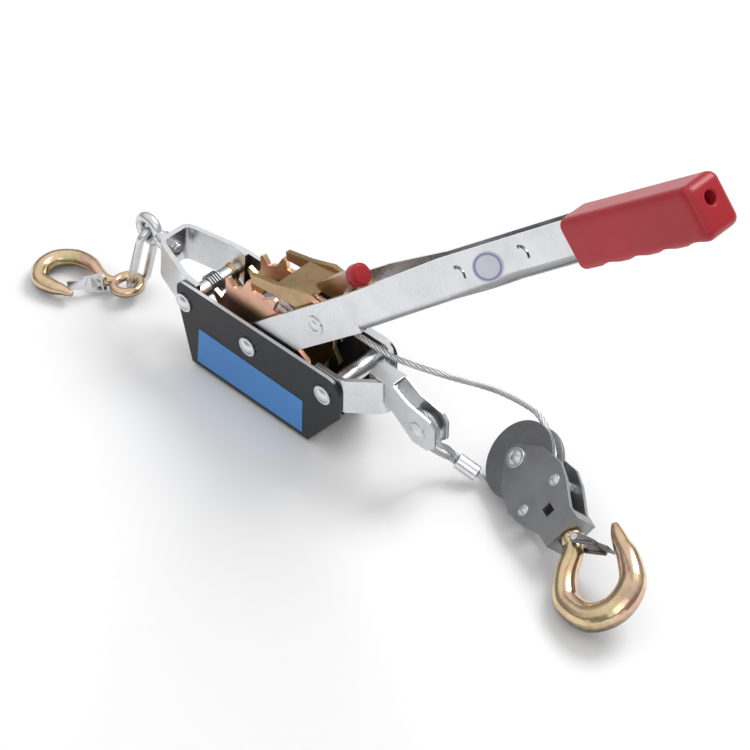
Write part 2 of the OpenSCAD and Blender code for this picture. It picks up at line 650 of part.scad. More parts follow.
// ---------- rope to the block and back ----------
function on_block(v) = let (c = cos(block_roll), s = sin(block_roll), y = v[1] * c - v[2] * s,
        z = v[1] * s + v[2] * c, cy = cos(block_yaw), sy = sin(block_yaw))
    block_at + [v[0] * cy - y * sy, v[0] * sy + y * cy, z];
wrap_a = 10;
wrap_b = 160;
wrap = [for (i = [0 : 6]) let (a = wrap_a + (wrap_b - wrap_a) * i / 6)
    on_block([groove_r * sin(a), groove_r * cos(a), 0])];
function off_wrap(a, d) = on_block([groove_r * sin(a) + d * cos(a), groove_r * cos(a) - d * sin(a), 0]);
ferrule_a = [180.5, 25.2, 9.6];
fe = unit([-0.88, -0.26, 0.4]);
ferrule_b = ferrule_a + ferrule_len * fe;
lay_r = wind_r + rope_d + 0.5;
lay = [for (a = [180 : -30 : 90]) [lay_r * cos(a), wind_y - 1.2 * (a - 90) / 120, axle_z + lay_r * sin(a)]];
run_pts = concat(lay, [[14, wind_y, axle_z + lay_r], [52, 13.5, 86.6], [98, 14.5, 84.4],
    [119, 18.5, 84.2], [139, 28, 81], [150, 38, 75.5], [160, 48, 70], [171, 58, 63.5], [184, 66, 56.5], [195, 71, 50]],
    [off_wrap(wrap_a, -17), off_wrap(wrap_a, -8)], wrap, [off_wrap(wrap_b, 10), [191, 26.7, 6.8], ferrule_a - fe * rope_d]);
run_line = concat(spline(run_pts, 2), [ferrule_a - fe * 0.05]);
module rope_run() {
    color(steel) rope(run_line, 8);
}
module rope_ferrule() {
    d = ferrule_b - ferrule_a;
    color(zinc) translate(ferrule_a) rotate([0, acos(d[2] / norm(d)), atan2(d[1], d[0])])
        cylinder(d = ferrule_d, h = norm(d));
}
thimble_at = [150, 0, 56];
thimble_r = 9.5;
loop_r = thimble_r + rope_r + 0.4;
fu = unit([0, 0, 1] - fe * fe[2]);
eye_up = ferrule_b + fu * 2.75 + fe * 0.05;
eye_dn = ferrule_b - fu * 2.75 + fe * 0.05;
eye_pts = concat([eye_up + fe * rope_d, [161, 12, 33], [162.5, 2, 45]],
    [for (a = [20 : 32 : 212]) thimble_at + [loop_r * cos(a), 0, loop_r * sin(a)]],
    [[143, 2.5, 38], [150, 11, 24], eye_dn + fe * rope_d]);
eye_line = concat([eye_up], spline(eye_pts, 2), [eye_dn]);
echo(rope_rings = len(run_line) + len(eye_line));
module rope_eye() {
    color(steel) rope(eye_line, 8);
}

// ---------- anchor hook ----------
anchor_y0 = 5.5;
anchor_y1 = 8;
slot_x0 = front_reach - 9.4;
slot_x1 = front_reach + 0.5;
anchor_top = strap_top + 0.3;
module anchor_outline() {
    difference() {
        polygon([[slot_x0 - 5.5, anchor_top + 3], [slot_x1 + 8, anchor_top + 3], [slot_x1 + 22, anchor_top - 5],
            [162, 72], [167, 66], [167, 50], [160, 43], [146, 43], [slot_x1 + 4, 62], [slot_x1, 58],
            [slot_x0 - 5.5, 60]]);
        translate([slot_x0, 40]) square([slot_x1 - slot_x0, anchor_top - 40]);
        translate([thimble_at[0], thimble_at[2]]) circle(5 + 0.02);
    }
}
module anchor_hook() {
    color(zinc) {
        for (s = [-1, 1]) plate_xz(s > 0 ? anchor_y0 : -anchor_y1, s > 0 ? anchor_y1 : -anchor_y0) anchor_outline();
        translate([slot_x0 - 5.5, -anchor_y0 - 0.01, anchor_top]) cube([slot_x1 - slot_x0 + 12, 2 * anchor_y0 + 0.02, 3]);
        translate([slot_x0 - 5.5, -anchor_y0 - 0.01, 64]) cube([2.5, 2 * anchor_y0 + 0.02, anchor_top - 63]);
    }
}
module anchor_rivet() {
    color(zinc) translate([thimble_at[0], 0, thimble_at[2]]) rivet_y(10, -anchor_y1, anchor_y1, 15, 2.6);
}
module anchor_thimble() {
    color(dull) translate([thimble_at[0], 0, thimble_at[2]]) difference() {
        rod_y(thimble_r, -anchor_y0 + 0.1, anchor_y0 - 0.1);
        rod_y(5 + run_gap, -20, 20);
    }
}

// ---------- rear swivel, link and hook ----------
stud_r = 5;
stud_z = 4;
eye_x = -(rear_reach - rear_pin_x) - 26;
eye_rod = 4.5;
eye_r = 10;
module ring(r, t, n = 40) {
    rotate_extrude($fn = n) translate([r, 0]) circle(t, $fn = 20);
}
module swivel_eye() {
    crown = -(rear_reach - rear_pin_x);
    color(zinc) rear_bail_frame() translate([0, 0, stud_z]) {
        difference() {
            union() {
                translate([crown + strap_t + 1.7, 0, 0]) rotate([0, -90, 0]) cylinder(r = stud_r, h = 18);
                translate([crown + strap_t + 1.7, 0, 0]) rotate([0, 90, 0]) dome(13, 4.5);
                translate([crown - 1.8, 0, 0]) rotate([0, -90, 0]) cylinder(r = 7.5, h = 9);
                translate([crown - 10.5, 0, 0]) rotate([0, -90, 0]) cylinder(r = 5.5, h = 5);
                translate([eye_x, 0, 0]) rotate([90, 0, 0]) ring(eye_r, eye_rod);
            }
        }
    }
}
module swivel_washer() {
    color(zinc) rear_bail_frame() translate([-(rear_reach - rear_pin_x), 0, stud_z]) rotate([0, -90, 0]) {
        difference() {
            translate([0, 0, 0.05]) cylinder(r = 9, h = 1.6);
            translate([0, 0, -1]) cylinder(r = stud_r + run_gap, h = 5);
        }
        difference() {
            translate([0, 0, -strap_t - 1.65]) cylinder(r = 7.6, h = 1.6);
            translate([0, 0, -strap_t - 3]) cylinder(r = stud_r + run_gap, h = 5);
        }
    }
}
eye_world = [-rear_pin_x + eye_x * cos(rear_tilt) + stud_z * sin(rear_tilt), 0,
    pin_z - eye_x * sin(rear_tilt) + stud_z * cos(rear_tilt)];
link_rod = 3.5;
link_top = eye_world + [0, 0, -eye_r + eye_rod + link_rod + 0.35];
link_bot = [-166, 0, 4.3];
link_len = norm(link_top - link_bot);
link_w = 9;
link_lean = atan2(link_top[0] - link_bot[0], link_top[2] - link_bot[2]);
module rear_link() {
    color(zinc) translate(link_top) rotate([0, link_lean, 0]) translate([0, 0, -link_len]) {
        for (s = [-1, 1]) translate([0, s * link_w, link_w]) cylinder(r = link_rod, h = link_len - 2 * link_w);
        for (u = [0, 1]) translate([0, 0, u == 0 ? link_w : link_len - link_w]) rotate([90, 0, 90])
            rotate([0, 0, u == 0 ? 180 : 0]) rotate_extrude(angle = 180, $fn = 48) translate([link_w, 0]) circle(link_rod, $fn = 20);
    }
}
rear_hook_at = [-164.6, -11.2, 12.2];
rear_yaw = 204;
rear_pitch = 3.2;
rear_bowl_x = 58;
module at_rear_hook() {
    translate(rear_hook_at) rotate([0, 0, rear_yaw]) rotate([0, rear_pitch, 0]) children();
}
rear_line = spline([[13, 0, 4.6], [20, -1, 5], [29, -7, 5.6], [38, -14.5, 6.4], [48, -18.6, 7],
    [rear_bowl_x, -rear_bowl_r, rear_bowl_t / 2 - 0.2],
    [rear_bowl_x + rear_bowl_r * sin(45), -rear_bowl_r * cos(45), rear_bowl_t / 2],
    [rear_bowl_x + rear_bowl_r, 0, rear_bowl_t / 2],
    [rear_bowl_x + rear_bowl_r * sin(45), rear_bowl_r * cos(45), rear_bowl_t / 2 - 0.4],
    [rear_bowl_x, rear_bowl_r, 6.2], [rear_bowl_x - 10, rear_bowl_r + 1.5, 4.6], [rear_bowl_x - 20, rear_bowl_r + 4.5, 2.2]], 4);
rear_latch_p = [21, 3.5];
rear_latch_q = [rear_bowl_x - 11.5, rear_bowl_r - 4.6];
module rear_hook() {
    color(gold) at_rear_hook() difference() {
        union() {
            ring(11, 4);
            forged(rear_line, 12);
        }
        translate([rear_latch_p[0], rear_latch_p[1], -20]) cylinder(r = 1.3, h = 40);
    }
}
module rear_latch() {
    d = unit(rear_latch_q - rear_latch_p);
    n = [-d[1], d[0]];
    color(zinc) at_rear_hook() difference() {
        union() {
            for (s = [-1, 1]) translate([0, 0, s * 6.6 - latch_t / 2]) linear_extrude(latch_t) {
                translate(rear_latch_p) circle(3.2);
                polygon([rear_latch_p + n * 3.2, rear_latch_p - n * 3.2, rear_latch_p + d * 14 - n * 0.5, rear_latch_p + d * 14 + n * 1.3]);
            }
            translate([0, 0, -7.3]) linear_extrude(14.6) polygon([rear_latch_p + d * 8.5 + n * 2.2, rear_latch_p + d * 14 + n * 1.3,
                rear_latch_p + d * 14 - n * 0.2, rear_latch_p + d * 8.5 + n * 0.8]);
            translate([0, 0, -4.5]) linear_extrude(9) polygon([rear_latch_p + d * 13.5 + n * 1.3, rear_latch_q + n * 0.6,
                rear_latch_q - n * 0.8, rear_latch_p + d * 13.5 - n * 0.2]);
        }
        translate([rear_latch_p[0], rear_latch_p[1], -20]) cylinder(r = 1.3, h = 40);
    }
}
module rear_latch_pin() {
    color(zinc) at_rear_hook() translate([rear_latch_p[0], rear_latch_p[1], 0]) {
        translate([0, 0, -7.8]) cylinder(r = 1.25, h = 15.6);
        translate([0, 0, 7.4]) cylinder(r = 2.2, h = 0.8);
        translate([0, 0, -8.2]) cylinder(r = 2.2, h = 0.8);
    }
}

frame_channel();
side_label();
drum_axle();
axle_nut();
arm_washers();
front_pin();
rear_pin();
front_spacer();
rear_spacer();
front_bail();
rear_bail();
ratchet_wheel_near();
ratchet_wheel_far();
drum_barrel();
rope_winding();
stop_pawl();
stop_pawl_spring();
handle_fork();
handle_grip();
drive_pawl_pin();
drive_pawl();
pawl_knob();
rope_run();
rope_eye();
rope_ferrule();
anchor_hook();
anchor_rivet();
anchor_thimble();
block_cheeks();
block_base();
block_rivets();
sheave();
sheave_axle();
main_hook();
hook_nut();
main_latch();
main_latch_pin();
swivel_eye();
swivel_washer();
rear_link();
rear_hook();
rear_latch();
rear_latch_pin();
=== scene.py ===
"""Hand cable puller: finishes, stranded rope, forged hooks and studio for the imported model."""

import json
import math

import bmesh
import bpy
from mathutils import Euler, Matrix, Vector


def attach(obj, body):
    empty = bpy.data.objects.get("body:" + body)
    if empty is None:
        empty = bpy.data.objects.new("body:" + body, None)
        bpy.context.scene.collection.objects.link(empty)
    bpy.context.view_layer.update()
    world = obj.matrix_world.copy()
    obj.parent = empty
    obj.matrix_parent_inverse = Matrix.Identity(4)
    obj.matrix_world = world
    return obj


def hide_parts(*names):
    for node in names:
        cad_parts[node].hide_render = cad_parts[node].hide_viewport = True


bl_info = {
    "name": "Hand Cable Puller",
    "version": (1, 0, 0),
    "blender": (4, 5, 0),
    "location": "View3D > Sidebar > Puller",
    "description": "Dresses a hand cable puller with its rope, hooks, metal finishes and a plain studio",
    "category": "Object",
}

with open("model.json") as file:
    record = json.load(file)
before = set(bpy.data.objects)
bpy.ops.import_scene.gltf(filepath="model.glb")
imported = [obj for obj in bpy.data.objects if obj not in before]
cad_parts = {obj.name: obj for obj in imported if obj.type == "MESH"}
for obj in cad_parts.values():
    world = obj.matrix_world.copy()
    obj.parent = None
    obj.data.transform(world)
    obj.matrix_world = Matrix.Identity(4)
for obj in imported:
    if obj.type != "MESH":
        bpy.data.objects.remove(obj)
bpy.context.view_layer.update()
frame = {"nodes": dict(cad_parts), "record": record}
NODES = frame["nodes"]
SLOTS = {s["node"]: s["material_slot"] for s in frame["record"]["subparts"]}
BODY = {n: b for b, names in frame["record"]["behaviour"]["bodies"].items() for n in names}

# All sizes below are in millimetres and degrees, unless a comment says otherwise.
MM = 0.001
AXLE_Z = 60.0
HANDLE_ANGLE = 41.0

# The pulley block: the sheave's middle, how the block is turned, and where the rope lies in the groove.
BLOCK_AT = Vector((209, 44, 27))
BLOCK_YAW, BLOCK_ROLL = -25.0, 44.0
GROOVE_R = 61 / 2 - 4.6

# The rope's outer layer on the drum, with the gap to the layer below and between its turns.
DRUM_R, WIND_LIFT, WIND_GAP = 21, 0.25, 0.5
WIND_TURNS, WIND_STEPS = 5, 40
# The rope's way from the drum over the front bail to the block, and where it is on the sheave.
OVER_BAIL = ((52, 13.5, 86.6), (98, 14.5, 84.4), (119, 18.5, 84.2), (139, 28, 81), (150, 38, 75.5),
             (160, 48, 70), (171, 58, 63.5), (184, 66, 56.5), (195, 71, 50))
SHEAVE_FROM, SHEAVE_WRAP, SHEAVE_STEPS = 10, 150, 6
# Points on the groove's tangents before and after the sheave. Then how the rope leaves the drum: it drifts
# sideways by LAY_DRIFT in LAY_TURN degrees.
SHEAVE_BEFORE, SHEAVE_AFTER = (-17, -8), 10
LAY_ANGLES, LAY_DRIFT, LAY_TURN, OFF_DRUM_X = (180, 150, 120, 90), 1.2, 120, 14
BEFORE_FERRULE = (191, 26.7, 6.8)
FERRULE_AT, FERRULE_ALONG, FERRULE_LONG = Vector((180.5, 25.2, 9.6)), Vector((-0.88, -0.26, 0.4)), 18
# The eye: how far its legs are from the ferrule's middle line, the thimble, and points before and after it.
# END_GAP keeps an end off the ferrule's faces.
LEG_OFF = 2.75
THIMBLE_AT, THIMBLE_R, THIMBLE_GAP = Vector((150, 0, 56)), 9.5, 0.4
THIMBLE_ANGLES = range(20, 213, 32)
EYE_UP, EYE_DOWN = [(161, 12, 33), (162.5, 2, 45)], [(143, 2.5, 38), (150, 11, 24)]
END_GAP = 0.05
CURVE_STEPS = 8
RING_STEP = 1.6

# The handle along its own line, from the drum axle: the trough with its leaning walls, then the grip.
TROUGH_AT, TROUGH_W, TROUGH_TOP, WALL_FOOT, WALL_LEAN = 230.0, 24.0, 15.0, -8.0, 4.5
GRIP_AT, GRIP_END, GRIP_W, GRIP_LOW, GRIP_HIGH = 369.0, 482.0, 30.0, -17.9, 17.1
GRIP_DROP, GRIP_EDGE_R, GRIP_VOXEL, GRIP_SMOOTHINGS = 3.4, 6, 0.8, 6
TANG_IN, TANG_TOP = 4, 8.0
# The trough's bottom turns round between these two places, from a first radius to half its width.
ROUND_AT, ROUND_FULL, ROUND_START_R = 226.0, 300.0, 15.5
# Reach of a cutting box past the handle's sides, below it, above it and past its end, and long cutting bars.
PAST_SIDE, PAST_LOW, PAST_HIGH, PAST_END = 20, -25, 30, 10
BAR_LONG, ROUND_LONG = 80, 600
FINGERS, FINGER_AT, FINGER_PITCH, FINGER_R, FINGER_DEEP = 4, 23.0, 25.0, 16.0, 2.4
HOLE_D, HOLE_UP, HOLE_DEEP = 9.0, 1.0, 11.7
STICKER_AT, STICKER_UP, STICKER_LONG, STICKER_HIGH = 281.5, 1.3, 33.0, 20.0
STICKER_THICK, STICKER_RIM, STICKER_RISE = 0.2, 0.15, 0.05
LANCE_R, LANCE_W, LANCE_STRETCH, LANCE_FROM, LANCE_SPAN = 6.4, 2.4, 4, 20, 125
LANCES = ((248.7, 0.4), (317.7, 1.4))
HANDLE_EDGE, FERRULE_EDGE = 0.35, 0.9
KNOB_VOXEL, KNOB_SMOOTHINGS = 0.4, 3
QUARTER = math.pi / 2

# Voxel, rounds of smoothing, end of the name and finish of the pieces whose facets are worked smooth.
FORGED = {
    "main_hook": (0.75, 10, "_forged", "forged_zinc"),
    "rear_hook": (0.6, 8, "_forged", "forged_zinc"),
    "rear_link": (0.6, 3, "_forged", None),
    "swivel_eye": (0.6, 3, "_forged", None),
    "stop_pawl_spring": (0.3, 2, "_forged", "spring_steel"),
    "anchor_rivet": (0.35, 3, "_headed", None),
    "block_rivets": (0.35, 3, "_headed", None),
    "sheave_axle": (0.35, 3, "_headed", None),
}
# Width of the broken edge of each cut, pressed or turned piece.
EDGES = {
    "frame_channel": 0.5, "side_label": 0.1, "axle_nut": 0.5, "arm_washers": 0.2,
    "front_bail": 0.5, "rear_bail": 0.5, "ratchet_wheel_near": 0.4, "ratchet_wheel_far": 0.4,
    "stop_pawl": 0.4, "drive_pawl": 0.4, "drive_pawl_pin": 0.2, "front_pin": 0.2, "rear_pin": 0.2,
    "drum_axle": 0.3, "anchor_hook": 0.4, "block_cheeks": 0.4, "block_base": 0.6, "sheave": 0.5,
    "hook_nut": 0.4, "main_latch": 0.25, "rear_latch": 0.25, "swivel_washer": 0.2,
}
# Pieces whose finish isn't the plain one of their material slot.
FINISH_OF = {
    "block_cheeks": "cheek_steel", "block_base": "cheek_steel", "drive_pawl": "shaded_brown_zinc",
    "ratchet_wheel_near": "pink_zinc",
}

# The camera: its direction and roll, the point it looks at in metres, then the width of the render, the
# focal length and the shift in pixels.
CAMERA_AZIMUTH, CAMERA_ELEVATION, CAMERA_ROLL = 44.0, 42.84, -0.33
LOOK_AT = Vector((0.0471, 0.0565, 0))
RENDER_W, FOCAL, SHIFT_X, SHIFT_Y = 750, 2068.7, -0.4, 2.0
SENSOR_W = 36.0
CLIP_END = 100
# Each lamp's place, the point it faces, its width in metres and its watts.
LAMPS = {
    "key": ((0.35, 1.5, 2.0), (0.05, 0, 0), 1.3, 30),
    "fill": ((1.6, -1.6, 1.4), (0.05, 0, 0.05), 1.6, 6),
}
FLOOR_COLOUR, FLOOR_ROUGH, FLOOR_Z = (0.93, 0.93, 0.935), 0.6, -0.0006
# The world's grey by the height of the direction, from the horizon at 0 to the zenith at 1.
SKY = ((0.0, 0.46), (0.14, 0.20), (0.28, 0.36), (0.58, 0.92), (0.9, 1))
SKY_STRENGTH = 0.9


# ---------- sizes and colours ----------
def length(name, about, default):
    return bpy.props.FloatProperty(name=name, description=about, default=default, unit="LENGTH")


def colour(name, about, default):
    return bpy.props.FloatVectorProperty(
        name=name, description=about, subtype="COLOR", size=3, default=default)


class PullerSizes(bpy.types.PropertyGroup):
    rope_diameter: length("Rope diameter", "Diameter over the rope's strands", 0.0048)
    rope_lay: length("Rope lay", "Length along the rope in which a strand goes once round", 0.031)
    rope_strands: bpy.props.IntProperty(
        name="Strands", description="Outer strands of the rope", default=6, min=3, max=9)
    camera_distance: length("Camera distance", "From the camera to the point it looks at", 1.603)
    floor_size: length("Floor size", "Width of the floor", 60.0)


class PullerColours(bpy.types.PropertyGroup):
    zinc: colour("Bright zinc", "Colour of the zinc plate", (0.80, 0.81, 0.83))
    yellow_zinc: colour("Yellow zinc", "Main colour of the yellow passivated zinc", (0.78, 0.52, 0.26))
    enamel: colour("Black enamel", "Colour of the frame's paint", (0.012, 0.012, 0.014))
    grip: colour("Red plastic", "Colour of the grip and the knob", (0.40, 0.017, 0.026))
    label: colour("Blue plate", "Colour of the bare plate on the frame", (0.062, 0.25, 0.61))
    dark_steel: colour("Dark steel", "Colour of the sheave and the block's cheeks", (0.30, 0.305, 0.315))
    rope: colour("Galvanised wire", "Colour of the rope's wires", (0.62, 0.63, 0.64))


# ---------- shader nodes ----------
def feed(tree, item, socket):
    """Give a socket another node's output, a colour or a plain value."""
    if isinstance(item, bpy.types.NodeSocket):
        tree.links.new(item, socket)
    elif socket.type == "RGBA":
        socket.default_value = (*item, 1)
    else:
        socket.default_value = item


def put(tree, kind, **values):
    """A new node with its settings, and its sockets fed by name."""
    node = tree.nodes.new(kind)
    for key, value in values.items():
        if hasattr(node, key):
            setattr(node, key, value)
        else:
            feed(tree, value, node.inputs[key.replace("_", " ")])
    return node


def maths(tree, operation, *items):
    node = put(tree, "ShaderNodeMath", operation=operation)
    for socket, item in zip(node.inputs, items):
        feed(tree, item, socket)
    return node.outputs[0]


def mixed(tree, factor, first, second, blend_type="MIX"):
    """The first colour turned into the second by factor."""
    node = put(tree, "ShaderNodeMix", data_type="RGBA", blend_type=blend_type)
    for i, item in ((0, factor), (6, first), (7, second)):
        feed(tree, item, node.inputs[i])
    return node.outputs[2]


def ramp(tree, factor, stops):
    node = put(tree, "ShaderNodeValToRGB", Fac=factor)
    elements = node.color_ramp.elements
    while len(elements) < len(stops):
        elements.new(0.5)
    for item, (position, shade) in zip(elements, stops):
        item.position = position
        item.color = (*shade, 1)
    return node.outputs["Color"]


def noise(tree, at, scale, detail, roughness=0.5, **values):
    node = put(tree, "ShaderNodeTexNoise", Vector=at, Scale=scale, Detail=detail, Roughness=roughness,
               **values)
    return node.outputs["Fac"]


def own_place(tree):
    """A spot's place on its own object."""
    return put(tree, "ShaderNodeTexCoord").outputs["Object"]


def scaled_place(tree, scale):
    node = put(tree, "ShaderNodeVectorMath", operation="SCALE", Vector=own_place(tree), Scale=scale)
    return node.outputs[0]


def facing(tree, axis, start, stop):
    """A mask that is 0 where the surface's own normal along axis is at start and 1 where it is at stop."""
    normal = put(tree, "ShaderNodeTexCoord").outputs["Normal"]
    part = put(tree, "ShaderNodeSeparateXYZ", Vector=normal)
    span = put(tree, "ShaderNodeMapRange", interpolation_type="SMOOTHSTEP", Value=part.outputs[axis],
               From_Min=start, From_Max=stop)
    return span.outputs["Result"]


def shaded(base, factor):
    """A colour made lighter or darker, and held at 1."""
    return [min(1, c * factor) for c in base]


def new_group(name, inputs, outputs):
    """A node group with inputs by default value and outputs by kind, and its two end nodes."""
    tree = bpy.data.node_groups.new(name, "ShaderNodeTree")
    for key, value in inputs.items():
        kind = "NodeSocketFloat" if isinstance(value, float) else "NodeSocketColor"
        tree.interface.new_socket(name=key, in_out="INPUT", socket_type=kind).default_value = value
    for key, kind in outputs.items():
        tree.interface.new_socket(name=key, in_out="OUTPUT", socket_type=kind)
    return tree, tree.nodes.new("NodeGroupInput").outputs, tree.nodes.new("NodeGroupOutput").inputs


def plating_group():
    """Spangle, fine scratches and handling marks of a plated sheet: a mask, a roughness and a height."""
    g, given, result = new_group(
        "Plating", {"Scale": 1.0, "Roughness": 0.25, "Spread": 0.12},
        {"Mask": "NodeSocketFloat", "Roughness": "NodeSocketFloat", "Height": "NodeSocketFloat"})
    at = scaled_place(g, given["Scale"])
    big = noise(g, at, scale=22.0, detail=3.0, roughness=0.55)
    fine = noise(g, at, scale=420.0, detail=4.0, roughness=0.7)
    stretch = put(g, "ShaderNodeMapping", Vector=at, Scale=(1.0, 9.0, 9.0),
                  Rotation=(0.0, math.radians(HANDLE_ANGLE), 0.0))
    lines = noise(g, stretch.outputs[0], scale=160.0, detail=2.0)
    centred = maths(g, "SUBTRACT", maths(g, "MULTIPLY_ADD", fine, 0.35, big), 0.67)
    patches = maths(g, "MULTIPLY_ADD", centred, given["Spread"], given["Roughness"])
    feed(g, big, result["Mask"])
    feed(g, maths(g, "MULTIPLY_ADD", lines, 0.10, patches), result["Roughness"])
    feed(g, maths(g, "MULTIPLY_ADD", lines, 0.5, fine), result["Height"])
    return g


def passivate_group():
    """The drifting pinks, greens and golds of yellow passivated zinc."""
    g, given, result = new_group(
        "Passivate", {"Base": (0.78, 0.52, 0.26, 1), "Scale": 1.0, "Amount": 0.5},
        {"Color": "NodeSocketColor"})
    drift = noise(g, scaled_place(g, given["Scale"]), scale=34.0, detail=2.0, Distortion=0.6)
    tint = ramp(g, drift, [(0.30, (0.44, 0.50, 0.22)), (0.42, (0.80, 0.62, 0.30)), (0.52, (0.86, 0.56, 0.34)),
                           (0.62, (0.80, 0.36, 0.34)), (0.74, (0.56, 0.60, 0.34))])
    feed(g, mixed(g, given["Amount"], given["Base"], tint), result["Color"])
    return g


def grime_group():
    """Dust and oil that gather in patches: darkens a colour a little."""
    g, given, result = new_group(
        "Grime", {"Color": (0.5, 0.5, 0.5, 1), "Dirt": (0.08, 0.07, 0.06, 1), "Amount": 0.2},
        {"Color": "NodeSocketColor"})
    patches = ramp(g, noise(g, own_place(g), scale=48.0, detail=5.0, roughness=0.65),
                   [(0.45, (0, 0, 0)), (0.72, (1, 1, 1))])
    feed(g, mixed(g, maths(g, "MULTIPLY", patches, given["Amount"]), given["Color"], given["Dirt"]),
         result["Color"])
    return g


GROUPS = {}


def group(name):
    if name not in GROUPS:
        GROUPS[name] = {"Plating": plating_group, "Passivate": passivate_group, "Grime": grime_group}[name]()
    return GROUPS[name]


def use(tree, name, **values):
    """A node of one of the groups, with its inputs fed by name."""
    node = tree.nodes.new("ShaderNodeGroup")
    node.node_tree = group(name)
    for key, value in values.items():
        feed(tree, value, node.inputs[key])
    return node


# ---------- materials ----------
def new_material(name, metallic=0.0, coat=0.0, coat_rough=0.1, gloss=0.5):
    mat = bpy.data.materials.new(name)
    mat.use_nodes = True
    shader = mat.node_tree.nodes["Principled BSDF"]
    shader.inputs["Metallic"].default_value = metallic
    shader.inputs["Specular IOR Level"].default_value = gloss
    shader.inputs["Coat Weight"].default_value = coat
    shader.inputs["Coat Roughness"].default_value = coat_rough
    return mat, mat.node_tree, shader


def dress_shader(tree, shader, base, roughness, height=None, strength=0.0, distance=0.0):
    """Give the shader its colour, its roughness and, where there is one, its relief."""
    feed(tree, base, shader.inputs["Base Color"])
    feed(tree, roughness, shader.inputs["Roughness"])
    if height is not None:
        bump = put(tree, "ShaderNodeBump", Strength=strength, Distance=distance, Height=height)
        tree.links.new(bump.outputs[0], shader.inputs["Normal"])


def plated(name, base, rough, spread, scale=1.0, bump=0.06, dirt=0.12, passivate=None, shade_below=0.55,
           shade_from=-0.10, shade_to=-0.55):
    """Plated metal with painted shade: its colour is darkened by a grey factor on the faces that look down,
    standing in for shade and dark reflections.
    """
    mat, t, p = new_material(name, 1.0)
    plate = use(t, "Plating", Scale=scale, Roughness=rough, Spread=spread)
    if passivate is None:
        skin = mixed(t, plate.outputs["Mask"], shaded(base, 0.84), shaded(base, 1.1))
    else:
        skin = use(t, "Passivate", Base=base, Scale=scale, Amount=passivate).outputs["Color"]
    skin = use(t, "Grime", Color=skin, Amount=dirt).outputs["Color"]
    # Painted shade and painted dark reflection: the colour is multiplied by a grey where the face's own
    # normal looks down.
    skin = mixed(t, facing(t, "Z", shade_from, shade_to), skin, (shade_below, shade_below, shade_below), "MULTIPLY")
    dress_shader(t, p, skin, plate.outputs["Roughness"], plate.outputs["Height"], bump, 0.0004)
    return mat


def moulded(name, base, rough, bump=0.12):
    """Moulded plastic with a fine grain, a little uneven in colour and gloss."""
    mat, t, p = new_material(name, coat=0.10, coat_rough=0.25, gloss=0.35)
    at = own_place(t)
    grain = noise(t, at, scale=900.0, detail=3.0, roughness=0.6)
    patches = noise(t, at, scale=18.0, detail=3.0)
    skin = use(t, "Grime", Color=mixed(t, patches, shaded(base, 0.86), shaded(base, 1.14)), Amount=0.05)
    dress_shader(t, p, skin.outputs["Color"], maths(t, "MULTIPLY_ADD", patches, 0.16, rough - 0.08),
                 grain, bump, 0.0003)
    return mat


def sticker_finish(name, paper, ring):
    """A pale oval with one plain ring just inside its edge."""
    mat, t, p = new_material(name, coat=0.2, coat_rough=0.2)
    middle, turn = on_wall(STICKER_AT, STICKER_UP)
    at = own_place(t)
    flat = put(t, "ShaderNodeMapping", vector_type="TEXTURE", Vector=at, Location=middle, Rotation=turn,
               Scale=(STICKER_LONG / 2 * MM, 1, STICKER_HIGH / 2 * MM))
    out = put(t, "ShaderNodeVectorMath", operation="LENGTH", Vector=flat.outputs[0])
    tint = ramp(t, out.outputs["Value"],
                [(0.0, paper), (0.74, paper), (0.78, ring), (0.90, ring), (0.94, paper)])
    skin = use(t, "Grime", Color=tint, Amount=0.15)
    patches = noise(t, at, scale=300.0, detail=3.0)
    dress_shader(t, p, skin.outputs["Color"], maths(t, "MULTIPLY_ADD", patches, 0.2, 0.25))
    return mat


def enamelled(name, base, bare=(0.62, 0.63, 0.64), bare_and_lit_above=0.066):
    """Enamel made bare-metal grey on the faces that look up, above a height in metres: the sheet's top cut
    edges, partly real bare edge and partly painted highlight, as only upward faces get it.
    """
    mat, t, p = new_material(name, coat=0.05, coat_rough=0.12, gloss=0.3)
    at = own_place(t)
    peel = noise(t, at, scale=240.0, detail=2.0)
    dust = noise(t, at, scale=60.0, detail=5.0, roughness=0.7)
    tint = ramp(t, dust, [(0.35, base), (0.75, [c * 1.8 + 0.004 for c in base])])
    height = put(t, "ShaderNodeSeparateXYZ", Vector=at).outputs["Z"]
    # Painted highlight and bare edge: faces that look up, above the height, turn bare-metal grey.
    bare_and_lit_top = maths(t, "MULTIPLY", facing(t, "Z", 0.80, 0.95), maths(t, "GREATER_THAN", height, bare_and_lit_above))
    dress_shader(t, p, mixed(t, bare_and_lit_top, tint, bare), maths(t, "MULTIPLY_ADD", dust, 0.20, 0.26),
                 peel, 0.08, 0.0004)
    return mat


MATS = {}


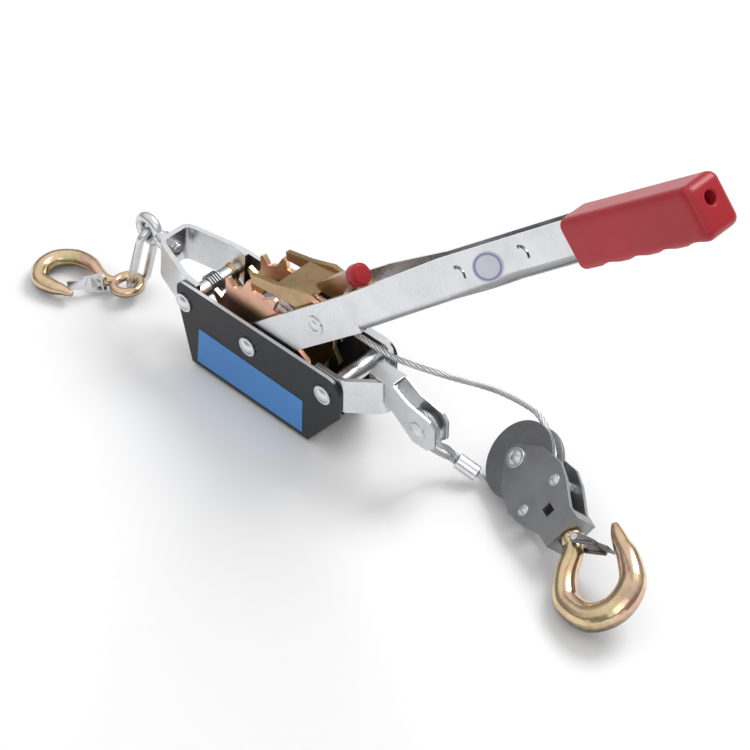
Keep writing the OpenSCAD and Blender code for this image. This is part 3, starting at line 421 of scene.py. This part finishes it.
def finishes():
    """Make every finish, from the colours of the panel."""
    c = bpy.context.scene.puller_colours
    cheek, spring = [v * 1.3 for v in c.dark_steel], [v * 0.6 for v in c.zinc]
    MATS.update({
        "zinc": plated("Bright zinc plate", c.zinc, 0.24, 0.16),
        "black_paint": enamelled("Black enamel", c.enamel),
        "blue_label": moulded("Blue plate", c.label, 0.42, 0.04),
        "yellow_zinc": plated("Yellow passivated zinc", c.yellow_zinc, 0.26, 0.16, passivate=0.75, dirt=0.2),
        "red_plastic": moulded("Red moulded plastic", c.grip, 0.34),
        "dark_steel": plated("Dull dark steel", c.dark_steel, 0.42, 0.2, dirt=0.25, bump=0.1),
        "cheek_steel": plated("Cheek plate steel", cheek, 0.36, 0.2, dirt=0.2),
        "spring_steel": plated("Spring steel", spring, 0.28, 0.1),
        # The drive pawl's zinc is a darker, browner yellow zinc: partly its own tint and partly painted
        # shade, as the pawl sits in shade between the handle's arms.
        "shaded_brown_zinc": plated("Brown passivated zinc with painted shade", (0.42, 0.27, 0.15), 0.27, 0.16, passivate=0.3,
                             dirt=0.3),
        "pink_zinc": plated("Pink passivated zinc", (0.86, 0.50, 0.38), 0.27, 0.16, passivate=0.35,
                            dirt=0.15),
        # A copy of the bright zinc with deeper painted shade on the handle's down-facing faces, standing in
        # for the dark reflection under the handle.
        "handle_zinc_shaded_below": plated("Handle zinc plate with painted shade", c.zinc, 0.24, 0.16, shade_below=0.38, shade_from=-0.05,
                              shade_to=-0.40),
        # Painted shade: the hooks' colour is darkened to about a fifth on faces that look sideways and down.
        "forged_zinc": plated("Forged yellow zinc", (0.80, 0.65, 0.44), 0.15, 0.12, passivate=0.45, dirt=0.35,
                              shade_below=0.22, shade_from=0.45, shade_to=-0.40),
        "sticker": sticker_finish("Plain sticker", (0.64, 0.65, 0.74), (0.24, 0.26, 0.46)),
        "wire_rope": plated("Galvanised wire", c.rope, 0.34, 0.15, scale=3.0, dirt=0.25),
    })


# ---------- routes ----------
def around(middle, radius, angle, y=0.0):
    """A point on an upright circle about a middle, y along its axis."""
    a = math.radians(angle)
    return Vector((middle[0] + radius * math.cos(a), middle[1] + y, middle[2] + radius * math.sin(a)))


def on_sheave(angle, past):
    """A point on the sheave's groove, or past it along the groove's tangent."""
    a = math.radians(angle)
    flat = Vector((GROOVE_R * math.sin(a) + past * math.cos(a),
                   GROOVE_R * math.cos(a) - past * math.sin(a), 0))
    rolled = Matrix.Rotation(math.radians(BLOCK_ROLL), 3, "X") @ flat
    return BLOCK_AT + Matrix.Rotation(math.radians(BLOCK_YAW), 3, "Z") @ rolled


def through(points, count):
    """Points of a smooth line through points, count to each stretch."""
    p = [Vector(q) for q in points]
    out = []
    for i in range(len(p) - 1):
        a, b, c, d = p[max(i - 1, 0)], p[i], p[i + 1], p[min(i + 2, len(p) - 1)]
        for j in range(count):
            t = j / count
            out.append(0.5 * (2 * b + (c - a) * t + (2 * a - 5 * b + 4 * c - d) * t * t
                              + (3 * b - a - 3 * c + d) * t ** 3))
    return out + [p[-1]]


def rope_routes(d):
    """Centre lines of the winding, the run and the eye, for a rope of diameter d."""
    axle = (0, 0, AXLE_Z)
    wind_r = DRUM_R + d / 2 + WIND_LIFT
    half = WIND_TURNS * (d + WIND_GAP) / 2
    count = WIND_TURNS * WIND_STEPS
    wind = [around(axle, wind_r, 90 + 360 * (WIND_TURNS - i / WIND_STEPS), -half + 2 * half * i / count)
            for i in range(count + 1)]

    lay_r = wind_r + d + WIND_GAP
    run = [around(axle, lay_r, a, half - LAY_DRIFT * (a - 90) / LAY_TURN) for a in LAY_ANGLES]
    run += [(OFF_DRUM_X, half, AXLE_Z + lay_r), *OVER_BAIL]
    run += [on_sheave(SHEAVE_FROM, past) for past in SHEAVE_BEFORE]
    run += [on_sheave(SHEAVE_FROM + SHEAVE_WRAP * i / SHEAVE_STEPS, 0) for i in range(SHEAVE_STEPS + 1)]
    along = FERRULE_ALONG.normalized()
    run += [on_sheave(SHEAVE_FROM + SHEAVE_WRAP, SHEAVE_AFTER), BEFORE_FERRULE, FERRULE_AT - along * d]

    far = FERRULE_AT + FERRULE_LONG * along
    upward = (Vector((0, 0, 1)) - along * along[2]).normalized()
    upper, lower = (far + upward * LEG_OFF * side + along * END_GAP for side in (1, -1))
    eye = [upper + along * d, *EYE_UP]
    eye += [around(THIMBLE_AT, THIMBLE_R + d / 2 + THIMBLE_GAP, a) for a in THIMBLE_ANGLES]
    eye += [*EYE_DOWN, lower + along * d]
    return (wind, through(run, CURVE_STEPS) + [FERRULE_AT - along * END_GAP],
            [upper] + through(eye, CURVE_STEPS) + [lower])


def evenly(points, step):
    """The same line with points a step apart."""
    out, left = [points[0]], step
    for a, b in zip(points, points[1:]):
        seg = (b - a).length
        while seg > 0 and left <= seg:
            a = a + (b - a) * (left / seg)
            out.append(a)
            seg = (b - a).length
            left = step
        left -= seg
    if (out[-1] - points[-1]).length > step * 0.3:
        out.append(points[-1])
    else:
        out[-1] = points[-1]
    return out


def strands(d, lay, count, per=8):
    """Cross-section of a laid rope: count lobes that turn once in each lay."""
    lobe = d / 2 / (1 + 1 / math.sin(math.pi / count)) * 2
    core = d / 2 - lobe / 2

    def section(along):
        turn = 2 * math.pi * along / lay
        out = []
        for j in range(count * per):
            a = 2 * math.pi * j / (count * per)
            k = (a * count / (2 * math.pi)) % 1.0 - 0.5
            off = k * 2 * math.pi / count
            q = core * math.cos(off) + math.sqrt(max(0.0, (lobe / 2) ** 2 - (core * math.sin(off)) ** 2))
            out.append((q * math.cos(a + turn), q * math.sin(a + turn)))
        return out
    return section


def swept(name, path, section):
    """A closed mesh along path. section gives the 2D points of the ring at a length along it."""
    bm = bmesh.new()
    rings, along, normal = [], 0.0, None
    for i, p in enumerate(path):
        t = (path[min(i + 1, len(path) - 1)] - path[max(i - 1, 0)]).normalized()
        if normal is None:
            normal = t.cross(Vector((0, 1, 0)))
            if normal.length < 0.3:
                normal = t.cross(Vector((1, 0, 0)))
        normal = (normal - t * normal.dot(t)).normalized()
        side = t.cross(normal)
        if i:
            along += (p - path[i - 1]).length
        rings.append([bm.verts.new((p + normal * u + side * v) * MM) for u, v in section(along)])
    k = len(rings[0])
    for a, b in zip(rings, rings[1:]):
        for j in range(k):
            bm.faces.new((a[j], a[(j + 1) % k], b[(j + 1) % k], b[j]))
    bm.faces.new(list(reversed(rings[0])))
    bm.faces.new(rings[-1])
    bmesh.ops.recalc_face_normals(bm, faces=bm.faces)
    mesh = bpy.data.meshes.new(name)
    bm.to_mesh(mesh)
    bm.free()
    obj = bpy.data.objects.new(name, mesh)
    bpy.context.collection.objects.link(obj)
    for f in mesh.polygons:
        f.use_smooth = len(f.vertices) < 8
    return obj


# ---------- work on meshes ----------
def clear():
    bpy.ops.object.select_all(action="DESELECT")


def only(obj):
    clear()
    obj.select_set(True)
    bpy.context.view_layer.objects.active = obj


def edit(obj, *steps):
    """Run edit-mode steps on all of obj."""
    only(obj)
    bpy.ops.object.mode_set(mode="EDIT")
    bpy.ops.mesh.select_all(action="SELECT")
    for step in steps:
        step()
    bpy.ops.object.mode_set(mode="OBJECT")


def outward():
    """The edit-mode step that turns every face outward."""
    bpy.ops.mesh.select_all(action="SELECT")
    bpy.ops.mesh.normals_make_consistent(inside=False)


def reshape(obj, test, step, kind="VERT"):
    """Run one edit-mode step on the vertices, or the edges by their middles, that pass test in mm."""
    only(obj)
    mesh = obj.data
    bpy.ops.object.mode_set(mode="EDIT")
    bpy.ops.mesh.select_mode(type=kind)
    bpy.ops.mesh.select_all(action="DESELECT")
    bpy.ops.object.mode_set(mode="OBJECT")
    for v in mesh.vertices if kind == "VERT" else ():
        v.select = test(v.co / MM)
    for e in mesh.edges if kind == "EDGE" else ():
        e.select = test((mesh.vertices[e.vertices[0]].co + mesh.vertices[e.vertices[1]].co) / 2 / MM)
    bpy.ops.object.mode_set(mode="EDIT")
    step()
    bpy.ops.object.mode_set(mode="OBJECT")


def modify(obj, kind, **values):
    """Add one modifier to obj and apply it."""
    bpy.context.view_layer.objects.active = obj
    modifier = obj.modifiers.new(kind.title(), kind)
    for key, value in values.items():
        setattr(modifier, key, value)
    bpy.ops.object.modifier_apply(modifier=modifier.name)


def place(obj, angles=(0, 0, 0), at=(0, 0, 0), size=(1, 1, 1)):
    """Size, turn and then move a piece, in metres and radians, with its place kept in its mesh."""
    obj.data.transform(Matrix.LocRotScale(Vector(at), Euler(angles), Vector(size)))
    return obj


def cut(obj, tool, keep_tool=False):
    """Take tool out of obj."""
    modify(obj, "BOOLEAN", operation="DIFFERENCE", solver="EXACT", object=tool)
    if not keep_tool:
        bpy.data.objects.remove(tool)


def box_between(low, high):
    low, high = Vector(low), Vector(high)
    clear()
    bpy.ops.mesh.primitive_cube_add(size=1)
    return place(bpy.context.object, at=(low + high) / 2 * MM, size=(high - low) * MM)


def round_bar(radius, long, at, angles):
    clear()
    bpy.ops.mesh.primitive_cylinder_add(vertices=64, radius=radius * MM, depth=long * MM)
    return place(bpy.context.object, angles, Vector(at) * MM)


def copy_of(node, name):
    obj = NODES[node].copy()
    obj.data = NODES[node].data.copy()
    obj.name = name
    bpy.context.collection.objects.link(obj)
    edit(obj, lambda: bpy.ops.mesh.remove_doubles(threshold=2e-6))
    return obj


def break_edges(obj, width):
    """Put a small round on every sharp edge of obj."""
    edit(obj, lambda: bpy.ops.mesh.dissolve_limited(angle_limit=math.radians(0.8)))
    modify(obj, "BEVEL", width=width * MM, segments=2, limit_method="ANGLE", angle_limit=math.radians(28),
           use_clamp_overlap=True)
    bpy.ops.object.shade_smooth_by_angle(angle=math.radians(38))
    modify(obj, "WEIGHTED_NORMAL", keep_sharp=True, weight=80)


def work_smooth(obj, voxel, rounds):
    """Rebuild obj on a voxel grid and smooth it."""
    modify(obj, "REMESH", mode="VOXEL", voxel_size=voxel * MM)
    modify(obj, "SMOOTH", factor=0.5, iterations=rounds)
    bpy.ops.object.shade_smooth()


def dress(obj, slot, body, *nodes, finish=None):
    """Give obj its finish, or the material of its slot, attach it to its body, and hide the nodes it
    replaces.
    """
    obj.data.materials.clear()
    obj.data.materials.append(MATS[finish or slot])
    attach(obj, body)
    if nodes:
        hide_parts(*nodes)
    return obj


def edged(node, width, finish=None):
    """A copy of a pressed or cut piece with its edges broken."""
    obj = copy_of(node, node + "_edged")
    break_edges(obj, width)
    return dress(obj, SLOTS[node], BODY[node], node, finish=finish)


def rounded(node, voxel, rounds, suffix, finish=None):
    """A copy of a forged or moulded piece with its facets worked smooth."""
    obj = copy_of(node, node + suffix)
    work_smooth(obj, voxel, rounds)
    return dress(obj, SLOTS[node], BODY[node], node, finish=finish)


# ---------- the handle ----------
def off_handle(obj):
    """Turn a piece from the handle's line onto +X."""
    place(obj, at=(0, 0, -AXLE_Z * MM))
    return place(obj, (0, math.radians(HANDLE_ANGLE), 0))


def onto_handle(obj):
    """Turn a piece made along +X onto the handle's line."""
    return place(obj, (0, -math.radians(HANDLE_ANGLE), 0), (0, 0, AXLE_Z * MM))


def on_wall(along, up):
    """Where a spot on the trough's near wall is, and how a piece made facing -Y is turned to lie there."""
    slope = WALL_LEAN / (TROUGH_TOP - WALL_FOOT)
    a = math.radians(HANDLE_ANGLE)
    at = Vector((along * math.cos(a) - up * math.sin(a), -TROUGH_W / 2 + slope * (up - WALL_FOOT),
                 AXLE_Z + along * math.sin(a) + up * math.cos(a)))
    return at * MM, (-math.atan(slope), -a, 0)


def lance():
    """The tool of one crescent slot: an upright oval spun round the slot's middle."""
    clear()
    bpy.ops.mesh.primitive_circle_add(vertices=16, radius=LANCE_W / 2 * MM, fill_type="NGON")
    obj = bpy.context.object
    edit(obj,
         lambda: bpy.ops.transform.resize(value=(1, LANCE_STRETCH, 1)),
         lambda: bpy.ops.transform.translate(value=(LANCE_R * MM, 0, 0)),
         lambda: bpy.ops.mesh.spin(steps=14, angle=math.radians(LANCE_SPAN), center=(0, 0, 0),
                                   axis=(0, 1, 0)),
         outward)
    return place(obj, (0, math.radians(LANCE_FROM), 0))


def handle_pressing():
    """The forked handle: its trough has a round bottom, walls that lean in and two lanced slots, and its tang
    is lower in the grip."""
    obj = off_handle(copy_of("handle_fork", "handle_pressing"))
    for side in (-1, 1):
        reshape(obj, lambda v: v.x > TROUGH_AT - 1 and v.z > TROUGH_TOP - 0.5 and v.y * side > 0,
                lambda: bpy.ops.transform.translate(value=(0, -side * WALL_LEAN * MM, 0)))
    cut(obj, box_between((GRIP_AT + TANG_IN, -PAST_SIDE, TANG_TOP),
                         (GRIP_END + PAST_END, PAST_SIDE, PAST_HIGH)))

    round_r = TROUGH_W / 2
    round_z = round_r - TROUGH_TOP
    corners = box_between((ROUND_AT, -PAST_SIDE, PAST_LOW), (ROUND_FULL, PAST_SIDE, round_z))
    clear()
    bpy.ops.mesh.primitive_cone_add(vertices=96, radius1=ROUND_START_R * MM, radius2=round_r * MM,
                                    depth=(ROUND_FULL - ROUND_AT) * MM)
    cut(corners, place(bpy.context.object, (0, QUARTER, 0),
                       ((ROUND_AT + ROUND_FULL) / 2 * MM, 0, round_z * MM)))
    cut(obj, corners)
    corners = box_between((ROUND_FULL, -PAST_SIDE, PAST_LOW), (GRIP_END, PAST_SIDE, round_z))
    cut(corners, round_bar(round_r, ROUND_LONG, (ROUND_FULL, 0, round_z), (0, QUARTER, 0)))
    cut(obj, corners)

    onto_handle(obj)
    for along, up in LANCES:
        at, turn = on_wall(along, up)
        cut(obj, place(lance(), turn, at))
    break_edges(obj, HANDLE_EDGE)
    return dress(obj, SLOTS["handle_fork"], "handle", "handle_fork", finish="handle_zinc_shaded_below")


def moulded_grip(pressing):
    """The grip: square with round edges, scalloped for four fingers, and bored to hang by."""
    obj = box_between((GRIP_AT, -GRIP_W / 2, GRIP_LOW), (GRIP_END, GRIP_W / 2, GRIP_HIGH))
    obj.name = "handle_grip_moulded"
    reshape(obj, lambda v: v.x > GRIP_END - 1,
            lambda: bpy.ops.transform.translate(value=(0, 0, -GRIP_DROP * MM)))
    reshape(obj, lambda v: v.x > GRIP_AT + 1,
            lambda: bpy.ops.mesh.bevel(offset=GRIP_EDGE_R * MM, segments=6), "EDGE")
    for i in range(FINGERS):
        along = FINGER_AT + FINGER_PITCH * i
        low = GRIP_LOW - GRIP_DROP * along / (GRIP_END - GRIP_AT)
        cut(obj, round_bar(FINGER_R, BAR_LONG, (GRIP_AT + along, 0, low - FINGER_R + FINGER_DEEP),
                           (QUARTER, 0, 0)))
    cut(obj, round_bar(HOLE_D / 2, 2 * HOLE_DEEP, (GRIP_END, 0, HOLE_UP), (0, QUARTER, 0)))
    work_smooth(obj, GRIP_VOXEL, GRIP_SMOOTHINGS)
    onto_handle(obj)
    cut(obj, pressing, keep_tool=True)
    return dress(obj, SLOTS["handle_grip"], "handle", "handle_grip")


def sticker():
    """A bare oval sticker on the trough's near wall."""
    clear()
    bpy.ops.mesh.primitive_circle_add(vertices=72, radius=MM / 2, fill_type="NGON")
    obj = bpy.context.object
    obj.name = "handle_sticker"
    edit(obj,
         lambda: bpy.ops.transform.resize(value=(STICKER_LONG, STICKER_HIGH, 1)),
         lambda: bpy.ops.mesh.extrude_region_move(
             TRANSFORM_OT_translate={"value": (0, 0, STICKER_THICK * MM)}),
         lambda: bpy.ops.mesh.inset(thickness=STICKER_RIM * MM),
         lambda: bpy.ops.transform.translate(value=(0, 0, STICKER_RISE * MM)),
         outward)
    place(obj, (QUARTER, 0, 0))
    at, turn = on_wall(STICKER_AT, STICKER_UP)
    place(obj, turn, at)
    return dress(obj, "blue_label", "handle", finish="sticker")


# ---------- the studio ----------
def add_camera(scene, distance):
    azimuth, elevation, roll = (math.radians(a) for a in (CAMERA_AZIMUTH, CAMERA_ELEVATION, CAMERA_ROLL))
    back = Vector((math.sin(azimuth) * math.cos(elevation), -math.cos(azimuth) * math.cos(elevation),
                   math.sin(elevation)))
    right = Vector((math.cos(azimuth), math.sin(azimuth), 0))
    up = back.cross(right)
    right, up = (right * math.cos(roll) + up * math.sin(roll), up * math.cos(roll) - right * math.sin(roll))
    clear()
    bpy.ops.object.camera_add(location=LOOK_AT + back * distance,
                              rotation=Matrix((right, up, back)).transposed().to_euler())
    scene.camera = bpy.context.object
    lens = scene.camera.data
    lens.sensor_width = SENSOR_W
    lens.lens = SENSOR_W * FOCAL / RENDER_W
    lens.shift_x = SHIFT_X / RENDER_W
    lens.shift_y = SHIFT_Y / RENDER_W
    lens.clip_end = CLIP_END


def add_floor(size):
    clear()
    bpy.ops.mesh.primitive_plane_add(size=size, location=(0, 0, FLOOR_Z))
    floor = bpy.context.object
    floor.name = "studio_floor"
    mat, tree, shader = new_material("Studio floor")
    dress_shader(tree, shader, FLOOR_COLOUR, FLOOR_ROUGH)
    floor.data.materials.append(mat)


def add_lamp(name, at, to, size, energy):
    at, to = Vector(at), Vector(to)
    bpy.ops.object.light_add(type="AREA", location=at,
                             rotation=(at - to).to_track_quat("Z", "Y").to_euler())
    lamp = bpy.context.object
    lamp.name = name
    lamp.data.shape = "DISK"
    lamp.data.size = size
    lamp.data.energy = energy


def add_world(scene):
    scene.world = bpy.data.worlds.new("Studio world")
    scene.world.use_nodes = True
    t = scene.world.node_tree
    sight = put(t, "ShaderNodeTexCoord").outputs["Generated"]
    height = put(t, "ShaderNodeSeparateXYZ", Vector=sight).outputs["Z"]
    background = t.nodes["Background"]
    feed(t, ramp(t, height, [(z, (grey, grey, grey)) for z, grey in SKY]), background.inputs["Color"])
    background.inputs["Strength"].default_value = SKY_STRENGTH
    scene.view_settings.view_transform = "Standard"


# ---------- operators ----------
class PULLER_OT_finishes(bpy.types.Operator):
    """Give every CAD piece its finish"""
    bl_idname = "puller.finishes"
    bl_label = "Finishes"

    def execute(self, context):
        finishes()
        for n, obj in NODES.items():
            obj.data.materials.clear()
            obj.data.materials.append(MATS[SLOTS[n]])
        return {"FINISHED"}


class PULLER_OT_studio(bpy.types.Operator):
    """Set the camera, the floor, the lamps and the world"""
    bl_idname = "puller.studio"
    bl_label = "Studio"

    def execute(self, context):
        s = context.scene.puller_sizes
        add_camera(context.scene, s.camera_distance)
        add_floor(s.floor_size)
        for name, lamp in LAMPS.items():
            add_lamp(name, *lamp)
        add_world(context.scene)
        return {"FINISHED"}


class PULLER_OT_rope(bpy.types.Operator):
    """Lay the stranded rope: the drum's outer layer, the run round the sheave and the eye"""
    bl_idname = "puller.rope"
    bl_label = "Wire rope"

    def execute(self, context):
        s = context.scene.puller_sizes
        wind, run, eye = rope_routes(s.rope_diameter / MM)
        section = strands(s.rope_diameter / MM, s.rope_lay / MM, s.rope_strands)
        ferrule = edged("rope_ferrule", FERRULE_EDGE)
        for name, path, node, body in (("rope_on_drum", wind, "rope_winding", "drum"),
                                       ("rope_length", run, "rope_run", "frame"),
                                       ("rope_loop", eye, "rope_eye", "frame")):
            path = evenly(path, RING_STEP)
            obj = dress(swept(name, path, section), "wire_rope", body, node)
        return {"FINISHED"}


class PULLER_OT_forgings(bpy.types.Operator):
    """Work the forged hooks, the link, the eye, the spring and the rivets smooth"""
    bl_idname = "puller.forgings"
    bl_label = "Forged pieces"

    def execute(self, context):
        for node, (voxel, rounds, suffix, finish) in FORGED.items():
            rounded(node, voxel, rounds, suffix, finish)
        return {"FINISHED"}


class PULLER_OT_handle(bpy.types.Operator):
    """Shape the handle: its pressing, its moulded grip, the sticker and the pawl's knob"""
    bl_idname = "puller.handle"
    bl_label = "Handle"

    def execute(self, context):
        moulded_grip(handle_pressing())
        sticker()
        rounded("pawl_knob", KNOB_VOXEL, KNOB_SMOOTHINGS, "_moulded")
        return {"FINISHED"}


class PULLER_OT_sheet(bpy.types.Operator):
    """Break the edges of the pressed, cut and turned pieces"""
    bl_idname = "puller.sheet"
    bl_label = "Pressed and turned pieces"

    def execute(self, context):
        for node, width in EDGES.items():
            edged(node, width, finish=FINISH_OF.get(node))
        return {"FINISHED"}


class PULLER_PT_panel(bpy.types.Panel):
    """Lists the puller's sizes, colours and steps"""
    bl_idname = "PULLER_PT_panel"
    bl_label = "Puller"
    bl_space_type = "VIEW_3D"
    bl_region_type = "UI"
    bl_category = "Puller"

    def draw(self, context):
        for group_name in ("puller_sizes", "puller_colours"):
            holder = getattr(context.scene, group_name)
            for key in holder.__annotations__:
                self.layout.prop(holder, key)
        for op in OPERATORS:
            self.layout.operator(op.bl_idname)


OPERATORS = (PULLER_OT_finishes, PULLER_OT_studio, PULLER_OT_rope, PULLER_OT_forgings, PULLER_OT_handle,
             PULLER_OT_sheet)
CLASSES = (PullerSizes, PullerColours, *OPERATORS, PULLER_PT_panel)


def register():
    for c in CLASSES:
        bpy.utils.register_class(c)
    bpy.types.Scene.puller_sizes = bpy.props.PointerProperty(type=PullerSizes)
    bpy.types.Scene.puller_colours = bpy.props.PointerProperty(type=PullerColours)


def unregister():
    del bpy.types.Scene.puller_colours
    del bpy.types.Scene.puller_sizes
    for c in reversed(CLASSES):
        bpy.utils.unregister_class(c)


def main():
    register()
    bpy.ops.puller.finishes()
    bpy.ops.puller.studio()
    bpy.ops.puller.rope()
    bpy.ops.puller.forgings()
    bpy.ops.puller.handle()
    bpy.ops.puller.sheet()


if __name__ == "__main__":
    main()
